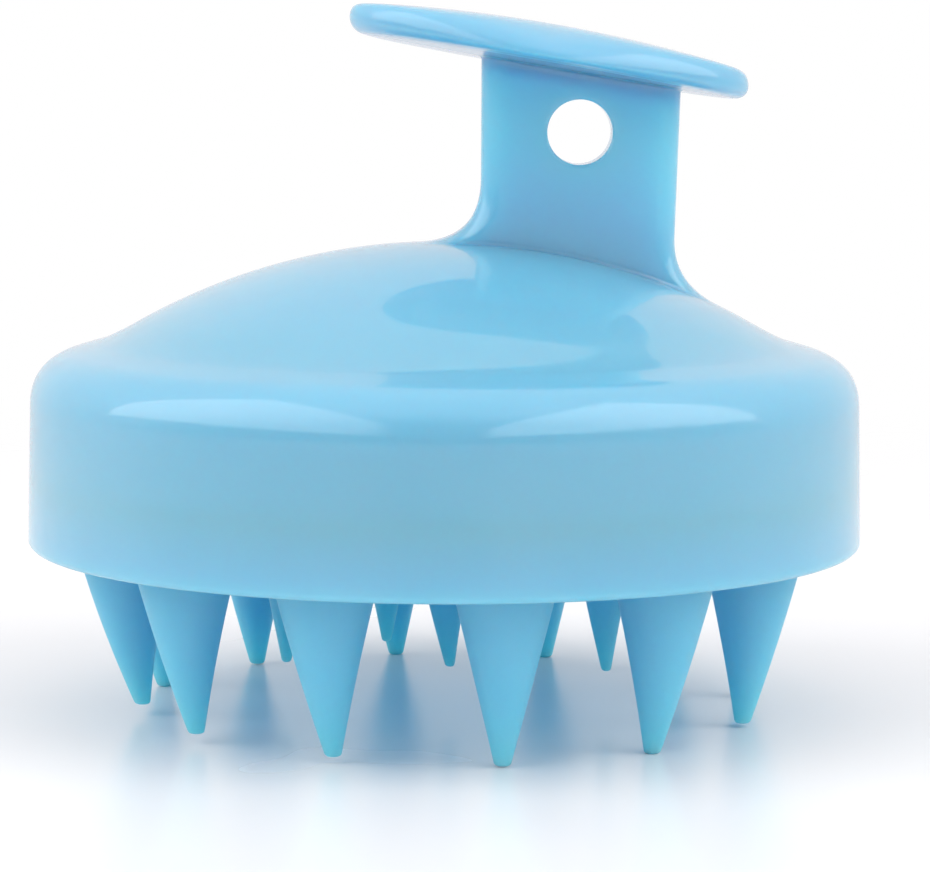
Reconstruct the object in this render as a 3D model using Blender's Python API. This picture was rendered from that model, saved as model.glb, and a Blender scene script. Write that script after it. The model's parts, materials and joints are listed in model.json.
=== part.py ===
"""Scalp massager brush: a domed shell with a T-handle over a soft pad with 19 massaging teeth.

The origin is on the axis of the round shell, at the level of the outer tooth tips. +Z is up,
+X runs along the palm plate towards its lower end, and -Y is the side a user sees first.
Lengths are named in millimetres and turned into metres when a mesh is made.
"""
import math

import bpy
from mathutils import Vector

MM = 0.001
RUNNING_GAP = 0.3           # free space between neighbouring pieces

# Dome: a spherical crown, a short cone and a rounded shoulder, all round the main axis.
CROWN_TOP = 46.5
CROWN_RADIUS = 62.0
CROWN_EDGE = 30.5           # distance from the axis at which the crown stops
CONE_START = (34.6, 36.5)   # (distance from the axis, height) after the soft valley
CONE_END = (37.0, 35.8)
SHOULDER = (40.9, 34.6)     # the corner that the shoulder's round replaces
SKIRT_TOP = 40.9
SKIRT_TOP_HEIGHT = 30.6
RIM_RADIUS = 41.2
RIM_HEIGHT = 16.75
RIM_ROUND = 0.7
WALL = 2.0

# Inside of the shell: a snap groove for the pad and two ring ribs that press on the backing plate.
GROOVE_DEPTH = 0.7
GROOVE_LOW = 22.0
GROOVE_HIGH = 24.4
RIB_THICKNESS = 1.6
RIB_RADII = (33.0, 15.0)
RIB_BOTTOM = 29.0
INNER_ROUND = 1.0           # room that the round inside the shoulder takes on each side
CEILING_SLOPE = 0.5         # fall of the ceiling beyond the crown
CEILING_STEPS = ((27.0, 22.0), (9.0, 4.0))

# Stem: a flat upright slab beside the main axis, with flared ends where it meets the dome.
STEM_LEFT = 3.45
STEM_RIGHT_TOP = 23.0       # the right end tapers in a little towards the dome
STEM_RIGHT_FOOT = 22.55
STEM_HALF_DEPTH = 3.0
STEM_CORNER = 2.1
FLARE_LEFT = 6.5            # reach and height of the soft run-out at each end of the foot
FLARE_RIGHT = 4.7
FACE_FILLET = 0.4           # where the slab's long faces meet the dome
TOP_FILLET = 0.3            # where the slab meets the palm plate
FOOT_STEPS = (0.0, 0.3, 0.5, 0.7, 1.0)
CROWN_STEPS = (0.25, 0.5, 0.75)
HOLE_RADIUS = 3.2
HOLE_X = 13.1
HOLE_Z = 57.4

# Palm plate: an oval, gently arched and tilted down towards +X.
PLATE_MIDDLE = (10.1, 65.25)
PLATE_HALF_LENGTH = 19.6
PLATE_HALF_WIDTH = 12.5
PLATE_TILT = math.radians(-9.55)
PLATE_LEAN = math.radians(2.5)
PLATE_ARCH_RADIUS = 3000.0
PLATE_EDGE = 2.8
PLATE_CROWN = 1.27
PLATE_BELLY = 0.3
PLATE_RIM_LOW = 1.0
PLATE_END_POWER = 45.0
PLATE_SIDE_POWER = 4.0
PLATE_TOP_TURNS = (22.0, 42.0, 58.0, 70.0, 79.0, 86.0, 90.0)
PLATE_LOWER_TURNS = (30.0, 60.0, 85.0)

# Soft head: pad, stiff backing plate and teeth.
PAD_FACE = 19.0
PAD_BACK = 26.2
PAD_RADIUS = 38.6
PAD_BEAD = 0.7
PAD_LIP_TOP = 28.5
BACKING_SEAT = 36.2
BACKING_THICKNESS = 2.0
OUTER_RING = 31.8
OUTER_COUNT = 12
OUTER_FIRST = math.radians(-80.0)
OUTER_ROOT = 5.35
OUTER_LEAN = 1.2            # how far the tip stands in from the root, towards the axis
INNER_RING = 16.0
INNER_COUNT = 6
INNER_FIRST = math.radians(-8.0)
INNER_ROOT = 3.5
INNER_TIP_HEIGHT = 4.0
TIP_RADIUS = 0.75
INNER_TIP_RADIUS = 0.45
TOOTH_BALL_ANGLES = (60.0, 30.0, 0.0)
BACKING_BEVEL = 0.4

AROUND = 48                 # points in each ring of the shell
TOOTH_AROUND = 12
HOLE_AROUND = 24
BACKING_AROUND = 40
SOCKET_AROUND = 16
SOCKET_STEPS = 8

COLOURS = {
    "shell": ((0.28, 0.64, 0.86, 1.0), 0.2),
    "silicone": ((0.12, 0.45, 0.68, 1.0), 0.55),
    "backing": ((0.55, 0.72, 0.82, 1.0), 0.45),
}


def clear_scene():
    """Remove every object, so that the script gives the same scene each time."""
    for old in list(bpy.data.objects):
        bpy.data.objects.remove(old, do_unlink=True)


def material(name):
    """A plain Principled material from the COLOURS table, made once."""
    found = bpy.data.materials.get(name)
    if found:
        return found
    colour, roughness = COLOURS[name]
    made = bpy.data.materials.new(name)
    made.use_nodes = True
    shader = made.node_tree.nodes["Principled BSDF"]
    shader.inputs["Base Color"].default_value = colour
    shader.inputs["Roughness"].default_value = roughness
    shader.inputs["Metallic"].default_value = 0.0
    return made


def ring_mesh(name, rings, first=None, last=None):
    """One closed body from rings in order. Each end is a flat face, or a fan to a given point."""
    count = len(rings[0])
    points = [point for ring in rings for point in ring]
    faces = []
    for low in range(0, len(points) - count, count):
        for i in range(count):
            j = (i + 1) % count
            faces.append((low + i, low + count + i, low + count + j, low + j))
    end = len(points) - count
    if first is None:
        faces.append(tuple(range(count)))
    else:
        points.append(first)
        faces += [(len(points) - 1, i, (i + 1) % count) for i in range(count)]
    if last is None:
        faces.append(tuple(reversed(range(end, end + count))))
    else:
        points.append(last)
        faces += [(end + i, len(points) - 1, end + (i + 1) % count) for i in range(count)]
    mesh = bpy.data.meshes.new(name)
    mesh.from_pydata([Vector(point) * MM for point in points], [], faces)
    mesh.validate()
    mesh.shade_smooth()
    mesh.set_sharp_from_angle(angle=math.radians(35.0))
    return mesh


def add_object(name, mesh, slot):
    """Link a mesh into the scene as one named piece."""
    mesh.materials.append(material(slot))
    made = bpy.data.objects.new(name, mesh)
    bpy.context.scene.collection.objects.link(made)
    return made


def turned(profile, count):
    """Rings for a profile of (distance from the axis, height) turned round the main axis."""
    rings = []
    for radius, height in profile:
        ring = []
        for i in range(count):
            angle = 2.0 * math.pi * i / count
            ring.append((radius * math.cos(angle), radius * math.sin(angle), height))
        rings.append(ring)
    return rings


def arc(centre, radius, start, end, steps):
    """Points on an arc in a (distance from the axis, height) plane, both ends included."""
    points = []
    for i in range(steps + 1):
        angle = math.radians(start + (end - start) * i / steps)
        points.append((centre[0] + radius * math.cos(angle), centre[1] + radius * math.sin(angle)))
    return points


def bend(start, corner, end, steps):
    """A soft bend: a quadratic curve from start to end that leaves and arrives towards corner."""
    points = []
    for i in range(steps + 1):
        t = i / steps
        a, b, c = (1 - t) ** 2, 2 * t * (1 - t), t * t
        points.append(tuple(a * start[k] + b * corner[k] + c * end[k] for k in (0, 1)))
    return points


def crown_height(radius):
    """Height of the spherical crown at a distance from the axis."""
    return CROWN_TOP - CROWN_RADIUS + math.sqrt(CROWN_RADIUS ** 2 - radius ** 2)


def valley_corner():
    """Where the crown's last tangent meets the line of the short cone."""
    slope = CROWN_EDGE / math.sqrt(CROWN_RADIUS ** 2 - CROWN_EDGE ** 2)
    cone = (CONE_START[1] - CONE_END[1]) / (CONE_END[0] - CONE_START[0])
    gap = crown_height(CROWN_EDGE) - CONE_START[1] - cone * (CONE_START[0] - CROWN_EDGE)
    run = gap / (slope - cone)
    return (CROWN_EDGE + run, crown_height(CROWN_EDGE) - slope * run)


def skirt_outline():
    """Outer profile from the valley to the rim, then the inside of the skirt up to the shoulder."""
    points = bend((CROWN_EDGE, crown_height(CROWN_EDGE)), valley_corner(), CONE_START, 3)
    points += bend(CONE_END, SHOULDER, (SKIRT_TOP, SKIRT_TOP_HEIGHT), 6)
    points += arc((RIM_RADIUS - RIM_ROUND, RIM_HEIGHT + RIM_ROUND), RIM_ROUND, 0.0, -90.0, 2)
    inner = RIM_RADIUS - WALL
    points.append((inner, RIM_HEIGHT))
    points.append((inner, GROOVE_LOW))
    points.append((inner + GROOVE_DEPTH, GROOVE_LOW + GROOVE_DEPTH))
    points.append((inner + GROOVE_DEPTH, GROOVE_HIGH - GROOVE_DEPTH))
    points.append((inner, GROOVE_HIGH))
    top = SKIRT_TOP - WALL
    points += bend((top, SKIRT_TOP_HEIGHT - INNER_ROUND), (top, SHOULDER[1] - WALL),
                   (CONE_END[0] - INNER_ROUND, CONE_END[1] - WALL), 3)
    return points


def ceiling_height(radius):
    """Height of the shell's inside at a distance from the axis."""
    beyond = max(0.0, radius - CROWN_EDGE)
    return crown_height(min(radius, CROWN_EDGE)) - WALL - CEILING_SLOPE * beyond


def ceiling_outline():
    """Inner profile under the dome, with its ring ribs, from the outside in."""
    points = []
    for rib, steps in zip(RIB_RADII, CEILING_STEPS):
        outside = rib + RIB_THICKNESS
        points += [(outside, ceiling_height(outside)), (outside, RIB_BOTTOM)]
        points += [(rib, RIB_BOTTOM), (rib, ceiling_height(rib))]
        points += [(radius, ceiling_height(radius)) for radius in steps]
    return points


def slab_outline(left, right, half_depth, corner):
    """Plan outline of the stem, counter-clockwise from the middle of the +X end."""
    half = 0.5 * (right - left)
    long = half - corner
    steps = AROUND // 16
    quarter = [(half, (half_depth - corner) * i / steps) for i in range(steps)]
    for i in range(steps):
        angle = 0.5 * math.pi * i / steps
        quarter.append((long + corner * math.cos(angle), half_depth - corner + corner * math.sin(angle)))
    quarter += [(long * (1.0 - 0.5 * i / steps), half_depth) for i in range(2 * steps)]
    upper = quarter + [(0.0, half_depth)] + [(-x, y) for x, y in reversed(quarter[1:])]
    whole = upper + [(-x, -y) for x, y in upper]
    return [(left + half + x, y) for x, y in whole]


def plate_height(x, y, offset):
    """Height of the palm plate's middle surface, lowered or raised by an offset."""
    along = (x - PLATE_MIDDLE[0]) / math.cos(PLATE_TILT)
    arch = along * along / (2.0 * PLATE_ARCH_RADIUS)
    slope = (x - PLATE_MIDDLE[0]) * math.tan(PLATE_TILT) - y * math.tan(PLATE_LEAN)
    return PLATE_MIDDLE[1] + slope - arch + offset


def plate_top_ring(share):
    """A ring of the plate's top: gently crowned, full at the two ends and rounder along the sides."""
    ring = []
    for i in range(AROUND):
        angle = 2.0 * math.pi * i / AROUND
        side = math.sin(angle) ** 2
        power = PLATE_END_POWER + (PLATE_SIDE_POWER - PLATE_END_POWER) * side
        low = PLATE_RIM_LOW * side
        rise = (0.5 * PLATE_EDGE + low) * math.sqrt(1.0 - share ** power) - low
        x = PLATE_MIDDLE[0] + share * PLATE_HALF_LENGTH * math.cos(angle)
        y = share * PLATE_HALF_WIDTH * math.sin(angle)
        ring.append((x, y, plate_height(x, y, PLATE_CROWN * (1.0 - share * share) + rise)))
    return ring


def plate_lower_ring(turn):
    """A ring of the plate's edge below its widest line, from 0 there to 90 degrees underneath."""
    half = 0.5 * PLATE_EDGE
    inset = half * (1.0 - math.cos(turn))
    ring = []
    for i in range(AROUND):
        angle = 2.0 * math.pi * i / AROUND
        low = PLATE_RIM_LOW * math.sin(angle) ** 2
        x = PLATE_MIDDLE[0] + (PLATE_HALF_LENGTH - inset) * math.cos(angle)
        y = (PLATE_HALF_WIDTH - inset) * math.sin(angle)
        ring.append((x, y, plate_height(x, y, -low - (half - low) * math.sin(turn))))
    return ring


def plate_under(x, y):
    """Height of the plate's bellied underside."""
    u = (x - PLATE_MIDDLE[0]) / PLATE_HALF_LENGTH
    v = y / PLATE_HALF_WIDTH
    belly = PLATE_BELLY * max(0.0, 1.0 - u * u - v * v)
    return plate_height(x, y, -0.5 * PLATE_EDGE - belly)


def plate_rings():
    """Crowned top from the middle out, rounded edge, then the underside back to the stem."""
    rings = [plate_top_ring(math.sin(math.radians(turn))) for turn in PLATE_TOP_TURNS]
    rings += [plate_lower_ring(math.radians(turn)) for turn in PLATE_LOWER_TURNS]
    root = slab_outline(STEM_LEFT - TOP_FILLET, STEM_RIGHT_TOP + TOP_FILLET,
                        STEM_HALF_DEPTH + TOP_FILLET, STEM_CORNER + TOP_FILLET)
    outer = plate_lower_ring(0.5 * math.pi)
    for share in (0.5, 1.0):
        ring = []
        for wide, narrow in zip(outer, root):
            x = wide[0] + (narrow[0] - wide[0]) * share
            y = wide[1] + (narrow[1] - wide[1]) * share
            ring.append((x, y, plate_under(x, y)))
        rings.append(ring)
    return rings


def foot_ring(step):
    """A ring of the stem's foot, from its top at step 0 to its outline on the dome at step 1."""
    out = step * step
    side = FACE_FILLET if step == 1.0 else 0.0
    plan = slab_outline(STEM_LEFT - FLARE_LEFT * out, STEM_RIGHT_FOOT + FLARE_RIGHT * out,
                        STEM_HALF_DEPTH + side, STEM_CORNER + side)
    ring = []
    for x, y in plan:
        across = (x - STEM_LEFT) / (STEM_RIGHT_FOOT - STEM_LEFT)
        flare = FLARE_LEFT + (FLARE_RIGHT - FLARE_LEFT) * min(1.0, max(0.0, across))
        ring.append((x, y, crown_height(math.hypot(x, y)) + flare * (1.0 - step) ** 2))
    return ring


def stem_rings():
    """Rings down the stem, from the palm plate to the flared foot on the dome."""
    top = slab_outline(STEM_LEFT, STEM_RIGHT_TOP, STEM_HALF_DEPTH, STEM_CORNER)
    rings = [[(x, y, plate_under(x, y) - TOP_FILLET) for x, y in top]]
    return rings + [foot_ring(step) for step in FOOT_STEPS]


def crown_rings(foot):
    """Rings over the crown, blending from the stem's foot to the crown's round edge."""
    rings = []
    for share in CROWN_STEPS:
        ring = []
        for i, point in enumerate(foot):
            angle = 2.0 * math.pi * i / AROUND
            x = point[0] + (CROWN_EDGE * math.cos(angle) - point[0]) * share
            y = point[1] + (CROWN_EDGE * math.sin(angle) - point[1]) * share
            ring.append((x, y, crown_height(math.hypot(x, y))))
        rings.append(ring)
    return rings


def cutter(name, mesh):
    """A guide for a Boolean, kept out of the finished object."""
    made = bpy.data.objects.new(name, mesh)
    bpy.context.scene.collection.objects.link(made)
    made.hide_render = True
    made.display_type = "WIRE"
    return made


def cut(target, tool):
    """Subtract a cutter from a piece."""
    modifier = target.modifiers.new("cut", "BOOLEAN")
    modifier.operation = "DIFFERENCE"
    modifier.solver = "EXACT"
    modifier.object = tool


def make_shell():
    """The moulded shell with its handle, and the hanging hole through the stem."""
    rings = plate_rings() + stem_rings()
    rings += crown_rings(rings[-1])
    rings += turned(skirt_outline() + ceiling_outline(), AROUND)
    middle = PLATE_MIDDLE[0]
    top = (middle, 0.0, plate_height(middle, 0.0, 0.5 * PLATE_EDGE + PLATE_CROWN))
    mesh = ring_mesh("handle_shell", rings, first=top, last=(0.0, 0.0, CROWN_TOP - WALL))
    shell = add_object("handle_shell", mesh, "shell")
    ends = (2.0 * STEM_HALF_DEPTH, -2.0 * STEM_HALF_DEPTH)
    hole = ring_mesh("hanging_hole", turned([(HOLE_RADIUS, z) for z in ends], HOLE_AROUND))
    tool = cutter("hanging_hole_cutter", hole)
    tool.location = Vector((HOLE_X, 0.0, HOLE_Z)) * MM
    tool.rotation_euler = (0.5 * math.pi, 0.0, 0.0)
    cut(shell, tool)


def make_backing_plate():
    """The stiff disc that sits in the pad's back and carries the shell's ring ribs."""
    edge = BACKING_SEAT - RUNNING_GAP
    low = PAD_BACK + RUNNING_GAP
    high = low + BACKING_THICKNESS
    inside = edge - BACKING_BEVEL
    profile = [(inside, high), (edge, high - BACKING_BEVEL), (edge, low + BACKING_BEVEL), (inside, low)]
    add_object("backing_plate", ring_mesh("backing_plate", turned(profile, BACKING_AROUND)), "backing")


def ball_cutter(radius):
    """A faceted ball that hollows a tooth's socket."""
    profile = []
    for k in range(1, SOCKET_STEPS):
        angle = math.pi * k / SOCKET_STEPS
        profile.append((radius * math.sin(angle), radius * math.cos(angle)))
    rings = turned(profile, SOCKET_AROUND)
    return ring_mesh("socket", rings, first=(0.0, 0.0, radius), last=(0.0, 0.0, -radius))


def make_pad(places):
    """The soft pad: a face disc with a lip, a snap bead and one round socket for each tooth."""
    mid_low = GROOVE_LOW + GROOVE_DEPTH + RUNNING_GAP
    mid_high = GROOVE_HIGH - GROOVE_DEPTH - RUNNING_GAP
    profile = [(BACKING_SEAT, PAD_BACK), (BACKING_SEAT, PAD_LIP_TOP), (PAD_RADIUS, PAD_LIP_TOP),
               (PAD_RADIUS, mid_high + PAD_BEAD), (PAD_RADIUS + PAD_BEAD, mid_high),
               (PAD_RADIUS + PAD_BEAD, mid_low), (PAD_RADIUS, mid_low - PAD_BEAD), (PAD_RADIUS, PAD_FACE)]
    pad = add_object("brush_pad", ring_mesh("brush_pad", turned(profile, AROUND)), "silicone")
    for name, position, _, root in places:
        tool = cutter(name + "_socket", ball_cutter(root + RUNNING_GAP))
        tool.location = Vector(position) * MM
        cut(pad, tool)


def tooth_mesh(name, root, length, lean, tip):
    """A cone tooth with a ball root at its own origin. Its tip is moved by lean towards -X."""
    rings = []
    for degrees in TOOTH_BALL_ANGLES:
        angle = math.radians(degrees)
        rings.append((root * math.cos(angle), root * math.sin(angle), 0.0))
    for share in (0.5, 1.0):
        rings.append((root + (tip - root) * share, -length * share, -lean * share * share))
    points = []
    for radius, height, shift in rings:
        ring = []
        for i in range(TOOTH_AROUND):
            angle = 2.0 * math.pi * i / TOOTH_AROUND
            ring.append((radius * math.cos(angle) + shift, radius * math.sin(angle), height))
        points.append(ring)
    return ring_mesh(name, points, first=(0.0, 0.0, root))


def tooth_places():
    """Name, hinge position, direction and root radius of every tooth."""
    places = []
    for i in range(OUTER_COUNT):
        angle = OUTER_FIRST + 2.0 * math.pi * i / OUTER_COUNT
        position = (OUTER_RING * math.cos(angle), OUTER_RING * math.sin(angle), PAD_FACE)
        places.append(("outer_tooth_%02d" % (i + 1), position, angle, OUTER_ROOT))
    for i in range(INNER_COUNT):
        angle = INNER_FIRST + 2.0 * math.pi * i / INNER_COUNT
        position = (INNER_RING * math.cos(angle), INNER_RING * math.sin(angle), PAD_FACE)
        places.append(("inner_tooth_%02d" % (i + 1), position, angle, INNER_ROOT))
    places.append(("centre_tooth", (0.0, 0.0, PAD_FACE), 0.0, INNER_ROOT))
    return places


def make_teeth(places):
    """Every tooth, with its origin on its hinge axis."""
    outer = tooth_mesh("outer_tooth", OUTER_ROOT, PAD_FACE, OUTER_LEAN, TIP_RADIUS)
    inner = tooth_mesh("inner_tooth", INNER_ROOT, PAD_FACE - INNER_TIP_HEIGHT, 0.0, INNER_TIP_RADIUS)
    outer.materials.append(material("silicone"))
    inner.materials.append(material("silicone"))
    for name, position, angle, _ in places:
        tooth = bpy.data.objects.new(name, outer if name.startswith("outer") else inner)
        bpy.context.scene.collection.objects.link(tooth)
        tooth.location = Vector(position) * MM
        tooth.rotation_euler = (0.0, 0.0, angle)


clear_scene()
make_shell()
make_backing_plate()
tooth_positions = tooth_places()
make_pad(tooth_positions)
make_teeth(tooth_positions)
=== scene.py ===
"""Looks of the scalp massager brush: a smooth glossy shell, a soft pad and soft teeth.

Lengths are in millimetres until a mesh is made, and in metres for materials, light and camera.
The frame gives the outer sizes and the places of the teeth. The other sizes are the shell's own
shape, named below.
"""
import json
import math

import bpy
import numpy as np
from mathutils import Matrix, Vector


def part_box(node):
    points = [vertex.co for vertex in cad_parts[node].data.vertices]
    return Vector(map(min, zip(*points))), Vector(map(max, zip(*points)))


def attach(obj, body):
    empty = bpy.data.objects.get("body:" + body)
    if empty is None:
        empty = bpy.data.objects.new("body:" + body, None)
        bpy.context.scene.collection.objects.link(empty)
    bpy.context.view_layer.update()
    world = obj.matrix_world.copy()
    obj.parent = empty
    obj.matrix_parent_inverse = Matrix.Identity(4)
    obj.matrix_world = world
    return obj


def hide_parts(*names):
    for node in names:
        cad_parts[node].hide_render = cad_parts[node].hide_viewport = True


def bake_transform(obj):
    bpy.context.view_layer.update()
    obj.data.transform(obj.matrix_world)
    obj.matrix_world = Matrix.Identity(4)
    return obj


MM = 0.001
BASE_BODY = "head"

# Dome: a spherical crown, a soft valley, a short cone and a rounded shoulder.
CROWN_TOP = 46.5
CROWN_RADIUS = 62.0
CROWN_EDGE = 30.5
CONE_START = (34.6, 36.5)   # (distance from the axis, height) after the soft valley
CONE_END = (37.0, 35.8)
SHOULDER = (40.9, 34.6)
SKIRT_TOP = (40.9, 30.6)
RIM_ROUND = 0.7
WALL = 2.0
INNER_ROUND = 1.0           # room that the round inside the shoulder takes on each side
INNER_STRAIGHT = 1.5        # where the inside of the skirt runs straight, above the rim
CEILING_SLOPE = 0.5         # fall of the ceiling beyond the crown
CEILING_ENDS = (27.5, 1.2)  # how far in the ceiling runs from each rib
GROOVE_DEPTH = 0.7
GROOVE_LOW = 22.0
GROOVE_HIGH = 24.4
RIB_THICKNESS = 1.6
RIB_RADII = (33.0, 15.0)
RIB_BOTTOM = 29.0
RIB_SOFT = 0.4

# Stem: a flat slab with flared ends at its foot and a hanging hole.
STEM_LEFT = 3.45
STEM_RIGHT_TOP = 23.0
STEM_RIGHT_FOOT = 22.55
STEM_HALF_DEPTH = 3.0
STEM_CORNER = 2.1
FLARE_LEFT = 6.5
FLARE_RIGHT = 4.7
FACE_FILLET = 0.4
TOP_FILLET = 0.3
HOLE_RADIUS = 3.2
HOLE_ROUND = 0.3
HOLE_X = 13.1
HOLE_Z = 57.4
HOLE_RINGS = (3, 25)        # the rings of the stem between which the hole's surround lies
HOLE_REACH = 15             # ring points from the stem's middle to the side of the surround
HOLE_SHARES = (0.3, 0.6, 0.85, 1.0)
HOLE_TURNS = np.radians((22.5, 45.0, 67.5, 90.0))
BORE_SHARE = 0.4            # an extra loop in the bore, as a share of the half depth

# Palm plate: an oval, gently arched and tilted.
PLATE_MIDDLE = (10.1, 65.25)
PLATE_HALF_LENGTH = 19.6
PLATE_HALF_WIDTH = 12.5
PLATE_TILT = math.radians(-9.55)
PLATE_LEAN = math.radians(2.5)
PLATE_ARCH_RADIUS = 3000.0
PLATE_EDGE = 2.8
PLATE_CROWN = 1.27
PLATE_RIM_LOW = 1.0
PLATE_END_POWER = 45.0
PLATE_SIDE_POWER = 4.0
PLATE_BELLY = 0.3
PLATE_TOP_TURNS = np.radians(np.linspace(2.0, 90.0, 45))
PLATE_LOWER_TURNS = np.radians(np.linspace(8.0, 88.0, 11))
PLATE_UNDER_SHARES = np.linspace(0.04, 1.0, 20)
TOP_FILLET_TURNS = np.radians((25.0, 50.0, 75.0))

# Soft head.
RUNNING_GAP = 0.3           # free space between the pad and the backing plate
PAD_EDGE_ROUND = 0.8
PAD_FACE_EDGE = 0.5         # from the edge's round to the last ring of the flat face
PAD_CENTRE_RING = 1.0
BEAD_FLAT = 0.3             # heights from the bead's middle
BEAD_FOOT = 1.0
BEAD_CLEAR = 1.6
ROOT_FILLET = 1.1
ROOT_DEPTH = 1.6
FILLET_START = 0.1
TIP_RADIUS = 0.75
INNER_TIP_RADIUS = 0.45
TIP_ROUND = 0.35
TIP_BAND = 0.01             # points this near the lowest one belong to the tip

# The soft teeth take a small set in use: how far each tip stands to +X, and how much shorter it is.
TOOTH_SET = {
    "outer_tooth_10": (0.45, 1.1),
    "outer_tooth_11": (0.05, 1.0),
    "outer_tooth_12": (0.3, 0.7),
    "outer_tooth_01": (0.1, 0.15),
    "outer_tooth_02": (-0.15, 0.0),
    "outer_tooth_03": (0.3, 0.4),
    "outer_tooth_06": (0.45, 0.0),
    "outer_tooth_07": (0.1, 0.0),
    "outer_tooth_08": (-0.25, 0.1),
    "centre_tooth": (0.6, 0.0),
    "inner_tooth_01": (0.3, 0.0),
}

AROUND = 192                # points in each ring of the shell and the pad
TOOTH_AROUND = 56
STEM_STEPS = 30
FOOT_STEPS = 40
CROWN_STEPS = 32
CEILING_STEPS = 8

NOISE_SPAN = (0.2, 0.8)     # the part of the noise's range that it mostly keeps to

# How far light travels inside the shell, and where that changes along the handle, in metres.
DOME_DEPTH = 0.005
STEM_DEPTH = 0.019
PLATE_DEPTH = 0.002
STEM_ZONE = (-0.004, 0.013)     # from the stem's foot
PLATE_ZONE = (-0.004, -0.001)   # from the middle of the palm plate

# Light, in metres. A glow of 1 is plain white.
WHITE = (1.0, 1.0, 1.0)
BACKDROP = (0.86, 0.855, 0.88)
ROOM_LIGHT = 0.15
TOP_LIGHT = 1.25
BEHIND = (-0.35, 0.35)      # directions over which the dark room turns into the backdrop
OVERHEAD = (0.65, 0.95)
BOX_AWAY = 0.6              # from the brush to each soft box, sideways
BOX_LOW = 0.12
BOX_HIGH = 1.3
BOX_FADE = 1.6              # length over which a box grows dim towards the camera
BOX_RISE = 0.15             # how steeply its lower edge rises towards the camera
BOX_SOFT = 0.05
BOX_COLOUR = (1.0, 0.985, 0.96)
LEFT_BOX = (-2.7, 0.12)     # front end and back end
RIGHT_BOX = (-3.6, 0.02)
LEFT_GLOW = 1.84
RIGHT_GLOW = 1.98
PAD_GLOW = 0.26
PAD_GLOW_COLOUR = (0.1, 0.6, 1.0)
PAD_GLOW_SIZE = 0.05
FLOOR_HALF = 6.0
FLOOR_FADE = (0.05, 0.30)   # distance behind the brush over which the table fades out

# Camera, in metres and degrees.
CAMERA_PLACE = (0.0, -0.35, 0.0663)
CAMERA_YAW = -0.328
CAMERA_PITCH = 90.0 - 6.373
CAMERA_ROLL = 0.26
CAMERA_LENS = 137.2
CAMERA_SENSOR = 36.0
CAMERA_NEAR = 0.01


# ---------------------------------------------------------------- outlines and rings

def crown_height(radius):
    """Height of the spherical crown at a distance from the axis."""
    return CROWN_TOP - CROWN_RADIUS + np.sqrt(CROWN_RADIUS ** 2 - np.square(radius))


def bend(start, corner, end, steps):
    """A soft bend from start to end, leaving and arriving towards corner."""
    t = np.linspace(0.0, 1.0, steps + 1)[:, None]
    return (1 - t) ** 2 * np.array(start) + 2 * t * (1 - t) * np.array(corner) + t * t * np.array(end)


def arc(centre, radius, start, end, steps):
    """Points on an arc, from one angle to another in degrees, both ends included."""
    angle = np.radians(np.linspace(start, end, steps + 1))
    return np.stack([centre[0] + radius * np.cos(angle), centre[1] + radius * np.sin(angle)], axis=1)


def line(start, end, steps):
    """Points on a straight stretch, both ends included."""
    return np.linspace(start, end, steps + 1)


def turned(profile, count):
    """Rings for a profile of (distance from the axis, height) turned round the Z axis."""
    angle = 2.0 * np.pi * np.arange(count) / count
    rings = np.empty((len(profile), count, 3))
    rings[:, :, 0] = profile[:, :1] * np.cos(angle)
    rings[:, :, 1] = profile[:, :1] * np.sin(angle)
    rings[:, :, 2] = profile[:, 1:]
    return rings


def slab_outline(left, right, half_depth, corner):
    """Plan outline of the stem, counter-clockwise from the middle of the +X end."""
    half = 0.5 * (right - left)
    long = half - corner
    steps = AROUND // 16
    share = np.arange(steps) / steps
    angle = 0.5 * np.pi * share
    short = np.stack([np.full(steps, half), (half_depth - corner) * share], axis=1)
    rounded = np.stack([long + corner * np.cos(angle), half_depth - corner + corner * np.sin(angle)], axis=1)
    inward = long * (1.0 - np.arange(2 * steps) / (2 * steps))
    flat = np.stack([inward, np.full(2 * steps, half_depth)], axis=1)
    quarter = np.concatenate([short, rounded, flat])
    upper = np.concatenate([quarter, [[0.0, half_depth]], quarter[:0:-1] * (-1.0, 1.0)])
    return np.concatenate([upper, -upper]) + (left + half, 0.0)


def plate_height(x, y, offset):
    """Height of the palm plate's middle surface, moved by an offset."""
    along = (x - PLATE_MIDDLE[0]) / math.cos(PLATE_TILT)
    arch = np.square(along) / (2.0 * PLATE_ARCH_RADIUS)
    slope = (x - PLATE_MIDDLE[0]) * math.tan(PLATE_TILT) - y * math.tan(PLATE_LEAN)
    return PLATE_MIDDLE[1] + slope - arch + offset


def plate_under(x, y):
    """Height of the plate's bellied underside."""
    u = (x - PLATE_MIDDLE[0]) / PLATE_HALF_LENGTH
    v = y / PLATE_HALF_WIDTH
    belly = PLATE_BELLY * np.maximum(0.0, 1.0 - u * u - v * v)
    return plate_height(x, y, -0.5 * PLATE_EDGE - belly)


def plate_top_ring(share):
    """A ring of the plate's top: gently crowned, full at the two ends and rounder along the sides."""
    angle = 2.0 * np.pi * np.arange(AROUND) / AROUND
    side = np.square(np.sin(angle))
    power = PLATE_END_POWER + (PLATE_SIDE_POWER - PLATE_END_POWER) * side
    low = PLATE_RIM_LOW * side
    rise = (0.5 * PLATE_EDGE + low) * np.sqrt(1.0 - share ** power) - low
    x = PLATE_MIDDLE[0] + share * PLATE_HALF_LENGTH * np.cos(angle)
    y = share * PLATE_HALF_WIDTH * np.sin(angle)
    return np.stack([x, y, plate_height(x, y, PLATE_CROWN * (1.0 - share ** 2) + rise)], axis=1)


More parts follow.
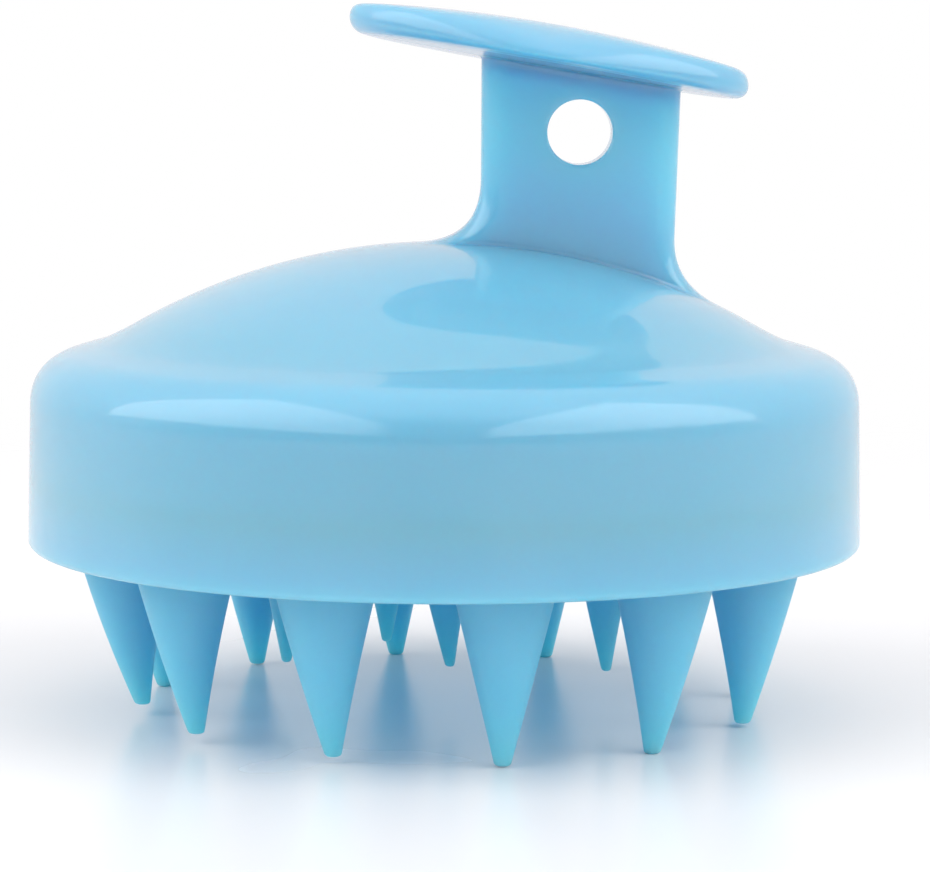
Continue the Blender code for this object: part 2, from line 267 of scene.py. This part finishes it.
def plate_lower_ring(turn):
    """A ring of the plate's edge below its widest line, from 0 there to a right angle underneath."""
    angle = 2.0 * np.pi * np.arange(AROUND) / AROUND
    low = PLATE_RIM_LOW * np.square(np.sin(angle))
    half = 0.5 * PLATE_EDGE
    inset = half * (1.0 - math.cos(turn))
    x = PLATE_MIDDLE[0] + (PLATE_HALF_LENGTH - inset) * np.cos(angle)
    y = (PLATE_HALF_WIDTH - inset) * np.sin(angle)
    return np.stack([x, y, plate_height(x, y, -low - (half - low) * math.sin(turn))], axis=1)


def lifted(outline, height):
    """A plan outline given heights."""
    return np.column_stack([outline, height])


# ---------------------------------------------------------------- shell

def plate_rings():
    """Crowned top from the middle out, rounded edge, then the underside back to the stem."""
    rings = [plate_top_ring(math.sin(turn)) for turn in PLATE_TOP_TURNS]
    rings += [plate_lower_ring(turn) for turn in PLATE_LOWER_TURNS]
    outer = plate_lower_ring(0.5 * math.pi)[:, :2]
    root = slab_outline(STEM_LEFT - TOP_FILLET, STEM_RIGHT_TOP + TOP_FILLET,
                        STEM_HALF_DEPTH + TOP_FILLET, STEM_CORNER + TOP_FILLET)
    for share in PLATE_UNDER_SHARES:
        plan = outer + (root - outer) * share
        rings.append(lifted(plan, plate_under(plan[:, 0], plan[:, 1])))
    for turn in TOP_FILLET_TURNS:
        out = TOP_FILLET * (1.0 - math.sin(turn))
        plan = slab_outline(STEM_LEFT - out, STEM_RIGHT_TOP + out, STEM_HALF_DEPTH + out, STEM_CORNER + out)
        drop = TOP_FILLET * (1.0 - math.cos(turn))
        rings.append(lifted(plan, plate_under(plan[:, 0], plan[:, 1]) - drop))
    return rings


def foot_ring(step):
    """A ring of the stem's foot, from its top at step 0 to its outline on the dome at step 1."""
    low = min(FLARE_LEFT, FLARE_RIGHT) * (1.0 - step) ** 2
    rest = max(0.0, FACE_FILLET - low)
    side = FACE_FILLET - math.sqrt(FACE_FILLET ** 2 - rest ** 2)
    out = step * step
    plan = slab_outline(STEM_LEFT - FLARE_LEFT * out, STEM_RIGHT_FOOT + FLARE_RIGHT * out,
                        STEM_HALF_DEPTH + side, STEM_CORNER + side)
    across = np.clip((plan[:, 0] - STEM_LEFT) / (STEM_RIGHT_FOOT - STEM_LEFT), 0.0, 1.0)
    flare = FLARE_LEFT + (FLARE_RIGHT - FLARE_LEFT) * across
    return lifted(plan, crown_height(np.hypot(plan[:, 0], plan[:, 1])) + flare * (1.0 - step) ** 2)


def stem_rings():
    """Rings down the stem: a straight part, then the flared foot that runs out onto the dome."""
    above = slab_outline(STEM_LEFT, STEM_RIGHT_TOP, STEM_HALF_DEPTH, STEM_CORNER)
    top = lifted(above, plate_under(above[:, 0], above[:, 1]) - TOP_FILLET)
    bottom = foot_ring(0.0)
    straight = [top + (bottom - top) * share for share in np.linspace(0.0, 1.0, STEM_STEPS + 1)[:-1]]
    return straight + [foot_ring(step) for step in np.linspace(0.0, 1.0, FOOT_STEPS + 1)]


def crown_rings(foot):
    """Rings over the crown, blending from the stem's foot to the crown's round edge."""
    angle = 2.0 * np.pi * np.arange(AROUND) / AROUND
    edge = CROWN_EDGE * np.stack([np.cos(angle), np.sin(angle)], axis=1)
    rings = []
    for share in np.linspace(0.0, 1.0, CROWN_STEPS + 1)[1:-1]:
        plan = foot[:, :2] + (edge - foot[:, :2]) * share
        rings.append(lifted(plan, crown_height(np.hypot(plan[:, 0], plan[:, 1]))))
    return rings


def skirt_profile(rim_radius, rim_height):
    """Outer profile from the crown's edge to the rim, then up the inside of the skirt."""
    slope = CROWN_EDGE / math.sqrt(CROWN_RADIUS ** 2 - CROWN_EDGE ** 2)
    cone = (CONE_START[1] - CONE_END[1]) / (CONE_END[0] - CONE_START[0])
    top = float(crown_height(CROWN_EDGE))
    run = (top - CONE_START[1] - cone * (CONE_START[0] - CROWN_EDGE)) / (slope - cone)
    valley = (CROWN_EDGE + run, top - slope * run)
    inner = rim_radius - WALL
    groove = inner + GROOVE_DEPTH
    inner_top = SKIRT_TOP[0] - WALL
    inner_bend = SKIRT_TOP[1] - INNER_ROUND
    parts = [
        bend((CROWN_EDGE, top), valley, CONE_START, steps=14),
        line(CONE_START, CONE_END, steps=4)[1:-1],
        bend(CONE_END, SHOULDER, SKIRT_TOP, steps=26),
        line(SKIRT_TOP, (rim_radius, rim_height + RIM_ROUND), steps=16)[1:-1],
        arc((rim_radius - RIM_ROUND, rim_height + RIM_ROUND), RIM_ROUND, 0.0, -90.0, steps=8),
        arc((inner + RIM_ROUND, rim_height + RIM_ROUND), RIM_ROUND, 270.0, 180.0, steps=6),
        line((inner, rim_height + INNER_STRAIGHT), (inner, GROOVE_LOW), steps=3),
        line((groove, GROOVE_LOW + GROOVE_DEPTH), (groove, GROOVE_HIGH - GROOVE_DEPTH), steps=1),
        line((inner, GROOVE_HIGH), (inner_top, inner_bend), steps=4),
        bend((inner_top, inner_bend), (inner_top, SHOULDER[1] - WALL),
             (CONE_END[0] - INNER_ROUND, CONE_END[1] - WALL), steps=8)[1:],
    ]
    return np.concatenate(parts)


def ceiling_height(radius):
    """Height of the shell's inner surface at a distance from the axis."""
    beyond = max(0.0, radius - CROWN_EDGE)
    return float(crown_height(min(radius, CROWN_EDGE))) - WALL - CEILING_SLOPE * beyond


def ceiling_profile():
    """Inner profile under the dome with its two ring ribs, from the outside in."""
    points = []
    for rib, inner_end in zip(RIB_RADII, CEILING_ENDS):
        outside = rib + RIB_THICKNESS
        points += [(outside, ceiling_height(outside)), (outside, RIB_BOTTOM + RIB_SOFT)]
        points += [(outside - RIB_SOFT, RIB_BOTTOM), (rib + RIB_SOFT, RIB_BOTTOM)]
        points += [(rib, RIB_BOTTOM + RIB_SOFT), (rib, ceiling_height(rib))]
        points += [(r, ceiling_height(r)) for r in np.linspace(rib, inner_end, CEILING_STEPS + 1)[1:]]
    return np.array(points)


def closed_body(rings, first, last):
    """Points and faces of a closed body: rings in order, with a fan to a point at each end."""
    rings = np.asarray(rings)
    count = rings.shape[1]
    points = list(rings.reshape(-1, 3))
    faces = quads(len(rings), count)
    end = len(points) - count
    points += [first, last]
    faces += [(end + count, i, (i + 1) % count) for i in range(count)]
    faces += [(end + i, end + count + 1, end + (i + 1) % count) for i in range(count)]
    return points, faces


def quads(ring_count, count):
    """Quads between neighbouring rings, facing out."""
    faces = []
    for r in range(ring_count - 1):
        low = r * count
        for i in range(count):
            j = (i + 1) % count
            faces.append((low + i, low + count + i, low + count + j, low + j))
    return faces


def stem_windows(first_ring):
    """The window in each long face of the stem: all their faces, and the loop of points round each."""
    ring_low, ring_high = first_ring + HOLE_RINGS[0], first_ring + HOLE_RINGS[1]
    front, back = 3 * AROUND // 4, AROUND // 4
    window = set()
    for low in range(ring_low * AROUND, ring_high * AROUND, AROUND):
        for side in (front, back):
            for i in range(side - HOLE_REACH, side + HOLE_REACH):
                window.add((low + i, low + AROUND + i, low + AROUND + i + 1, low + i + 1))
    loops = []
    for side, step in ((front, 1), (back, -1)):
        start, end = side - step * HOLE_REACH, side + step * HOLE_REACH
        loop = [ring_low * AROUND + i for i in range(start, end, step)]
        loop += [r * AROUND + end for r in range(ring_low, ring_high)]
        loop += [ring_high * AROUND + i for i in range(end, start, -step)]
        loop += [r * AROUND + start for r in range(ring_high, ring_low, -1)]
        loops.append(loop)
    return window, loops


def hole_layers(border):
    """Outlines and depths from a window's border, over the hole's soft edge, to inside the bore."""
    angle = np.arctan2(border[:, 1] - HOLE_Z, border[:, 0] - HOLE_X)
    circle = np.stack([np.cos(angle), np.sin(angle)], axis=1)
    centre = np.array([HOLE_X, HOLE_Z])
    lip = centre + (HOLE_RADIUS + HOLE_ROUND) * circle
    layers = [(border + (lip - border) * share, STEM_HALF_DEPTH) for share in HOLE_SHARES]
    for turn in HOLE_TURNS:
        radius = HOLE_RADIUS + HOLE_ROUND * (1.0 - math.sin(turn))
        depth = STEM_HALF_DEPTH - HOLE_ROUND * (1.0 - math.cos(turn))
        layers.append((centre + radius * circle, depth))
    layers.append((centre + HOLE_RADIUS * circle, BORE_SHARE * STEM_HALF_DEPTH))
    return layers


def drill_hole(points, faces, first_ring):
    """Replace a window in both long faces of the stem by a round hole with softened edges."""
    window, (front_loop, back_loop) = stem_windows(first_ring)
    faces = [face for face in faces if face not in window]
    layers = hole_layers(np.array([points[k] for k in front_loop])[:, (0, 2)])
    through = [(flat, -depth) for flat, depth in layers] + [(layers[-1][0], 0.0)] + layers[::-1]
    size = len(front_loop)
    rows = [front_loop]
    for flat, depth in through:
        rows.append(range(len(points), len(points) + size))
        points += [(x, depth, z) for x, z in flat]
    rows.append(back_loop)
    for row, following in zip(rows, rows[1:]):
        for k in range(size):
            n = (k + 1) % size
            faces.append((row[k], row[n], following[n], following[k]))
    return points, faces


def finish_piece(name, points, faces, material, sharp):
    """Make a piece from points in millimetres: smooth below the sharp angle, in degrees."""
    mesh = bpy.data.meshes.new(name)
    mesh.from_pydata([Vector(point) * MM for point in points], [], faces)
    mesh.validate()
    mesh.shade_smooth()
    mesh.set_sharp_from_angle(angle=math.radians(sharp))
    mesh.materials.append(material)
    piece = bpy.data.objects.new(name, mesh)
    bpy.context.scene.collection.objects.link(piece)
    return piece


def make_shell(material):
    """The glossy moulding: palm plate, stem, dome and skirt as one continuous surface."""
    low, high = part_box("handle_shell")
    plate = plate_rings()
    stem = stem_rings()
    rings = plate + stem + crown_rings(stem[-1])
    profile = np.concatenate([skirt_profile(high.x / MM, low.z / MM), ceiling_profile()])
    rings += list(turned(profile, AROUND))
    middle = PLATE_MIDDLE[0]
    top = (middle, 0.0, float(plate_height(middle, 0.0, 0.5 * PLATE_EDGE + PLATE_CROWN)))
    points, faces = closed_body(rings, first=top, last=(0.0, 0.0, CROWN_TOP - WALL))
    points, faces = drill_hole(points, faces, len(plate))
    shell = finish_piece("smooth_shell", points, faces, material, sharp=50.0)
    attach(shell, BASE_BODY)
    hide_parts("handle_shell")


# ---------------------------------------------------------------- soft head

def make_pad(material):
    """The soft face disc with a rounded edge, a snap bead and a lip round the backing plate."""
    low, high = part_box("brush_pad")
    seat_low, seat_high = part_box("backing_plate")
    face = low.z / MM
    radius = high.x / MM - GROOVE_DEPTH
    bead = high.x / MM
    middle = 0.5 * (GROOVE_LOW + GROOVE_HIGH)
    seat = seat_high.x / MM + RUNNING_GAP
    back = seat_low.z / MM - RUNNING_GAP
    top = high.z / MM
    soft = PAD_EDGE_ROUND
    profile = np.concatenate([
        line((PAD_CENTRE_RING, back), (seat, back), steps=6),
        line((seat, top), (radius, top), steps=1),
        line((radius, middle + BEAD_FOOT), (bead, middle + BEAD_FLAT), steps=1),
        line((bead, middle - BEAD_FLAT), (radius, middle - BEAD_FOOT), steps=1),
        line((radius, middle - BEAD_CLEAR), (radius, face + soft), steps=2),
        arc((radius - soft, face + soft), soft, 0.0, -90.0, steps=8)[1:],
        line((radius - soft - PAD_FACE_EDGE, face), (PAD_CENTRE_RING, face), steps=12),
    ])
    points, faces = closed_body(turned(profile, AROUND), first=(0.0, 0.0, back), last=(0.0, 0.0, face))
    pad = finish_piece("soft_pad", points, faces, material, sharp=40.0)
    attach(pad, BASE_BODY)
    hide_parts("brush_pad")


def tooth_profile(root, length, tip):
    """Profile of one tooth below its hinge: buried root, fillet, cone and softened flat tip."""
    slope = (root - tip) / length
    at_fillet = root - slope * ROOT_FILLET
    flank = line((at_fillet, -ROOT_FILLET), (tip + slope * TIP_ROUND, TIP_ROUND - length), steps=26)
    fillet = bend((root + ROOT_FILLET, 0.0), (root, 0.0), flank[0], steps=8)
    nose = bend(flank[-1], (tip, -length), (tip - TIP_ROUND, -length), steps=6)
    buried = line((root + ROOT_FILLET, ROOT_DEPTH), (root + ROOT_FILLET, FILLET_START), steps=2)
    return np.concatenate([buried, fillet, flank[1:], nose[1:], [(0.5 * (tip - TIP_ROUND), -length)]])


def make_tooth(node, material):
    """One soft tooth, leaning more the further it runs down from the pad."""
    joint = next(j for j in frame["joints"] if j["child"] == node)
    hinge = np.array(joint["pos_m"]) / MM
    low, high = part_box(node)
    sideways, shorter = TOOTH_SET.get(node, (0.0, 0.0))
    length = hinge[2] - low.z / MM - shorter
    root = high.z / MM - hinge[2]
    tip = TIP_RADIUS if node.startswith("outer") else INNER_TIP_RADIUS
    cad = np.array([vertex.co for vertex in frame["nodes"][node].data.vertices]) / MM
    lowest = cad[cad[:, 2] < low.z / MM + TIP_BAND]
    lean = 0.5 * (lowest.min(0) + lowest.max(0)) - hinge + (sideways, 0.0, 0.0)
    profile = tooth_profile(root, length, tip)
    rings = turned(profile, TOOTH_AROUND)
    share = np.clip(-profile[:, 1] / length, 0.0, 1.0) ** 2
    rings[:, :, 0] += hinge[0] + lean[0] * share[:, None]
    rings[:, :, 1] += hinge[1] + lean[1] * share[:, None]
    rings[:, :, 2] += hinge[2]
    tip_point = (hinge[0] + lean[0], hinge[1] + lean[1], hinge[2] - length)
    root_point = (hinge[0], hinge[1], hinge[2] + ROOT_DEPTH)
    points, faces = closed_body(rings, first=root_point, last=tip_point)
    tooth = finish_piece("soft_" + node, points, faces, material, sharp=60.0)
    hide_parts(node)
    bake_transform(tooth)


# ---------------------------------------------------------------- materials

def node_material(name):
    """An empty node material with a Principled shader. Returns material, tree and shader."""
    material = bpy.data.materials.new(name)
    material.use_nodes = True
    tree = material.node_tree
    return material, tree, tree.nodes["Principled BSDF"]


def ramp(tree, value, low, high, at_low, at_high):
    """A smooth step of a value: at_low below low, at_high above high."""
    step = tree.nodes.new("ShaderNodeMapRange")
    step.interpolation_type = "SMOOTHSTEP"
    step.inputs["From Min"].default_value = low
    step.inputs["From Max"].default_value = high
    step.inputs["To Min"].default_value = at_low
    step.inputs["To Max"].default_value = at_high
    tree.links.new(value, step.inputs["Value"])
    return step.outputs["Result"]


def multiply(tree, a, b):
    """Product of two values."""
    product = tree.nodes.new("ShaderNodeMath")
    product.operation = "MULTIPLY"
    tree.links.new(a, product.inputs[0])
    tree.links.new(b, product.inputs[1])
    return product.outputs["Value"]


def level_along(tree, point, direction):
    """How far a point lies along a direction."""
    product = tree.nodes.new("ShaderNodeVectorMath")
    product.operation = "DOT_PRODUCT"
    product.inputs[1].default_value = direction
    tree.links.new(point, product.inputs[0])
    return product.outputs["Value"]


def object_point(tree):
    """The shaded point in the object's own coordinates."""
    return tree.nodes.new("ShaderNodeTexCoord").outputs["Object"]


def noise(tree, scale, detail, low, high, seed):
    """Smooth noise over the object's own coordinates, remapped to a range."""
    texture = tree.nodes.new("ShaderNodeTexNoise")
    texture.noise_dimensions = "4D"
    texture.inputs["W"].default_value = seed
    texture.inputs["Scale"].default_value = scale
    texture.inputs["Detail"].default_value = detail
    tree.links.new(object_point(tree), texture.inputs["Vector"])
    return ramp(tree, texture.outputs["Fac"], *NOISE_SPAN, low, high)


def two_tone(tree, factor, colour_a, colour_b):
    """A mix of two colours by a factor."""
    mix = tree.nodes.new("ShaderNodeMix")
    mix.data_type = "RGBA"
    mix.inputs["A"].default_value = (*colour_a, 1.0)
    mix.inputs["B"].default_value = (*colour_b, 1.0)
    tree.links.new(factor, mix.inputs["Factor"])
    return mix.outputs["Result"]


def clouds(tree, shader, colour_a, colour_b, scale, detail, seed):
    """Faint clouds between two colours as the base colour."""
    factor = noise(tree, scale, detail, low=0.0, high=1.0, seed=seed)
    tree.links.new(two_tone(tree, factor, colour_a, colour_b), shader.inputs["Base Color"])


def grain(tree, socket, low, high, scale, detail, seed):
    """Drive a value socket with fine noise between two values."""
    tree.links.new(noise(tree, scale, detail, low, high, seed), socket)


def relief(tree, shader, distance, strength, scale, detail, seed):
    """Fine relief on the surface, up to a distance in metres."""
    made = tree.nodes.new("ShaderNodeBump")
    made.inputs["Distance"].default_value = distance
    made.inputs["Strength"].default_value = strength
    height = noise(tree, scale, detail, low=0.0, high=1.0, seed=seed)
    tree.links.new(height, made.inputs["Height"])
    tree.links.new(made.outputs["Normal"], shader.inputs["Normal"])


def set_inputs(shader, **values):
    """Set a shader's inputs by name, with underscores for spaces."""
    for name, value in values.items():
        shader.inputs[name.replace("_", " ")].default_value = value


def scatter_depth(tree):
    """Depth of scattered light in the shell, by place along the handle's tilted direction."""
    level = level_along(tree, object_point(tree), (-math.sin(PLATE_TILT), 0.0, math.cos(PLATE_TILT)))
    foot = (CROWN_TOP - STEM_LEFT * math.sin(PLATE_TILT)) * MM
    plate = (PLATE_MIDDLE[1] - PLATE_MIDDLE[0] * math.sin(PLATE_TILT)) * math.cos(PLATE_TILT) * MM
    in_stem = ramp(tree, level, foot + STEM_ZONE[0], foot + STEM_ZONE[1], DOME_DEPTH, STEM_DEPTH)
    in_plate = ramp(tree, level, plate + PLATE_ZONE[0], plate + PLATE_ZONE[1], 1.0, PLATE_DEPTH / STEM_DEPTH)
    return multiply(tree, in_stem, in_plate)


def shell_material():
    """Polished, slightly milky blue plastic with faint flow clouds and a trace of mould waviness."""
    material, tree, shader = node_material("polished_blue_plastic")
    clouds(tree, shader, (0.13, 0.435, 0.635), (0.145, 0.45, 0.65), scale=45.0, detail=3.0, seed=1.0)
    grain(tree, shader.inputs["Roughness"], 0.48, 0.54, scale=160.0, detail=4.0, seed=2.0)
    grain(tree, shader.inputs["Coat Roughness"], 0.012, 0.03, scale=160.0, detail=4.0, seed=4.0)
    set_inputs(shader, IOR=1.7, Coat_Weight=1.0, Coat_IOR=1.5,
               Subsurface_Weight=1.0, Subsurface_Radius=(0.3, 1.1, 1.15))
    tree.links.new(scatter_depth(tree), shader.inputs["Subsurface Scale"])
    relief(tree, shader, distance=0.00001, strength=0.35, scale=220.0, detail=1.0, seed=3.0)
    return material


def silicone_material():
    """Satin silicone, a deeper blue than the shell, translucent and finely grained."""
    material, tree, shader = node_material("satin_blue_silicone")
    clouds(tree, shader, (0.155, 0.50, 0.71), (0.17, 0.52, 0.72), scale=90.0, detail=3.0, seed=5.0)
    grain(tree, shader.inputs["Roughness"], 0.42, 0.52, scale=300.0, detail=4.0, seed=6.0)
    set_inputs(shader, IOR=1.45, Subsurface_Weight=1.0,
               Subsurface_Radius=(0.35, 0.95, 1.1), Subsurface_Scale=0.008)
    relief(tree, shader, distance=0.00001, strength=0.3, scale=5000.0, detail=2.0, seed=7.0)
    return material


def backing_material():
    """Plain moulded plastic of the hidden plate."""
    material, tree, shader = node_material("plain_moulded_plastic")
    clouds(tree, shader, (0.5, 0.66, 0.76), (0.58, 0.73, 0.82), scale=60.0, detail=3.0, seed=8.0)
    grain(tree, shader.inputs["Roughness"], 0.4, 0.55, scale=200.0, detail=3.0, seed=9.0)
    relief(tree, shader, distance=0.00002, strength=0.3, scale=1500.0, detail=2.0, seed=10.0)
    return material


def floor_material():
    """A pale glossy table that fades into the white backdrop behind the brush."""
    material, tree, shader = node_material("pale_table")
    clouds(tree, shader, (0.89, 0.88, 0.875), (0.91, 0.895, 0.89), scale=8.0, detail=2.0, seed=11.0)
    grain(tree, shader.inputs["Roughness"], 0.24, 0.28, scale=25.0, detail=2.0, seed=12.0)
    behind = level_along(tree, object_point(tree), (0.0, 1.0, 0.0))
    seen = tree.nodes.new("ShaderNodeLightPath").outputs["Is Camera Ray"]
    glow = tree.nodes.new("ShaderNodeEmission")
    tree.links.new(two_tone(tree, seen, BACKDROP, WHITE), glow.inputs["Color"])
    mix = tree.nodes.new("ShaderNodeMixShader")
    tree.links.new(ramp(tree, behind, *FLOOR_FADE, 0.0, 1.0), mix.inputs["Fac"])
    tree.links.new(shader.outputs["BSDF"], mix.inputs[1])
    tree.links.new(glow.outputs["Emission"], mix.inputs[2])
    tree.links.new(mix.outputs["Shader"], tree.nodes["Material Output"].inputs["Surface"])
    return material


# ---------------------------------------------------------------- stage, light and camera

def make_floor(material):
    """The table top under the tooth tips."""
    mesh = bpy.data.meshes.new("floor")
    plan = [(-1, -1), (1, -1), (1, 1), (-1, 1)]
    mesh.from_pydata([(x * FLOOR_HALF, y * FLOOR_HALF, 0.0) for x, y in plan], [], [(0, 1, 2, 3)])
    mesh.materials.append(material)
    floor = bpy.data.objects.new("floor", mesh)
    bpy.context.scene.collection.objects.link(floor)


def area_light(name, place, target, size, glow, colour):
    """A rectangular soft light at a place, aimed at a target, in metres. Its face is as bright as glow."""
    light = bpy.data.lights.new(name, "AREA")
    light.shape = "RECTANGLE"
    light.size, light.size_y = size
    light.energy = glow * math.pi * size[0] * size[1]
    light.color = colour
    lamp = bpy.data.objects.new(name, light)
    bpy.context.scene.collection.objects.link(lamp)
    lamp.location = place
    lamp.rotation_euler = (Vector(target) - Vector(place)).to_track_quat("-Z", "Y").to_euler()
    return lamp


def make_world():
    """A white backdrop behind, brighter overhead, and a dark room on the camera's side."""
    world = bpy.data.worlds.new("white_studio")
    bpy.context.scene.world = world
    world.use_nodes = True
    tree = world.node_tree
    direction = tree.nodes.new("ShaderNodeTexCoord").outputs["Generated"]
    behind = ramp(tree, level_along(tree, direction, (0.0, 1.0, 1.0)), *BEHIND, ROOM_LIGHT, 1.0)
    upward = ramp(tree, level_along(tree, direction, (0.0, 0.0, 1.0)), *OVERHEAD, 1.0, TOP_LIGHT)
    studio = tree.nodes["Background"]
    tree.links.new(multiply(tree, behind, upward), studio.inputs["Strength"])
    studio.inputs["Color"].default_value = (*BACKDROP, 1.0)
    seen = tree.nodes.new("ShaderNodeBackground")
    seen.inputs["Color"].default_value = (*WHITE, 1.0)
    mix = tree.nodes.new("ShaderNodeMixShader")
    tree.links.new(tree.nodes.new("ShaderNodeLightPath").outputs["Is Camera Ray"], mix.inputs["Fac"])
    tree.links.new(studio.outputs["Background"], mix.inputs[1])
    tree.links.new(seen.outputs["Background"], mix.inputs[2])
    tree.links.new(mix.outputs["Shader"], tree.nodes["World Output"].inputs["Surface"])


def shape_box(light, front):
    """Dim a soft box towards its front end, and let its lower edge rise towards that end."""
    light.use_nodes = True
    tree = light.node_tree
    point = tree.nodes.new("ShaderNodeNewGeometry").outputs["Position"]
    depth = level_along(tree, point, (0.0, 1.0, 0.0))
    level = level_along(tree, point, (0.0, BOX_RISE, 1.0))
    bright = ramp(tree, depth, front, front + BOX_FADE, 0.0, 1.0)
    above = ramp(tree, level, BOX_LOW, BOX_LOW + BOX_SOFT, 0.0, 1.0)
    tree.links.new(multiply(tree, bright, above), tree.nodes["Emission"].inputs["Strength"])


def make_soft_box(name, side, front, back, glow):
    """A long upright soft box beside the brush. The side is -1 for left and 1 for right."""
    middle = Vector((0.0, 0.5 * (front + back), 0.5 * (BOX_LOW + BOX_HIGH)))
    size = (back - front, BOX_HIGH - BOX_LOW)
    place = middle + Vector((side * BOX_AWAY, 0.0, 0.0))
    box = area_light(name, place, middle, size, glow, BOX_COLOUR)
    shape_box(box.data, front)


def make_pad_glow():
    """The faint blue light that comes down through the soft pad, itself unseen."""
    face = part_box("brush_pad")[0].z
    size = (PAD_GLOW_SIZE, PAD_GLOW_SIZE)
    glow = area_light("pad_glow", (0.0, 0.0, face - MM), (0.0, 0.0, 0.0), size, PAD_GLOW, PAD_GLOW_COLOUR)
    glow.data.shape = "ELLIPSE"
    glow.visible_camera = False
    glow.visible_glossy = False


def make_camera():
    """A long lens a little above the dome, looking slightly down."""
    data = bpy.data.cameras.new("camera")
    data.sensor_width = CAMERA_SENSOR
    data.lens = CAMERA_LENS
    data.clip_start = CAMERA_NEAR
    camera = bpy.data.objects.new("camera", data)
    bpy.context.scene.collection.objects.link(camera)
    pose = Matrix.Translation(CAMERA_PLACE)
    for degrees, axis in ((CAMERA_YAW, "Z"), (CAMERA_PITCH, "X"), (CAMERA_ROLL, "Z")):
        pose = pose @ Matrix.Rotation(math.radians(degrees), 4, axis)
    camera.matrix_world = pose
    bpy.context.scene.camera = camera


# ---------------------------------------------------------------- build

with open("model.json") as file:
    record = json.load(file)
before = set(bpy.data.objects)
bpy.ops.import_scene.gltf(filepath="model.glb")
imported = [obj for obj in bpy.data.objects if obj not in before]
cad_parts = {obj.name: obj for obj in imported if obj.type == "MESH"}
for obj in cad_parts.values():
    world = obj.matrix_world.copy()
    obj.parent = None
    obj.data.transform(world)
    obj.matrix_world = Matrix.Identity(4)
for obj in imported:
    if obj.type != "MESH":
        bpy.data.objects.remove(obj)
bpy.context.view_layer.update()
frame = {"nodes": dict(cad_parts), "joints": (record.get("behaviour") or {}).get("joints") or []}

make_shell(shell_material())
silicone = silicone_material()
make_pad(silicone)
for tooth_node in sorted(frame["nodes"]):
    if "tooth" in tooth_node:
        make_tooth(tooth_node, silicone)
backing = frame["nodes"]["backing_plate"]
backing.data.materials.clear()
backing.data.materials.append(backing_material())

make_floor(floor_material())
make_world()
make_soft_box("left_box", -1, *LEFT_BOX, LEFT_GLOW)
make_soft_box("right_box", 1, *RIGHT_BOX, RIGHT_GLOW)
make_pad_glow()
make_camera()
bpy.context.scene.view_settings.view_transform = "Standard"
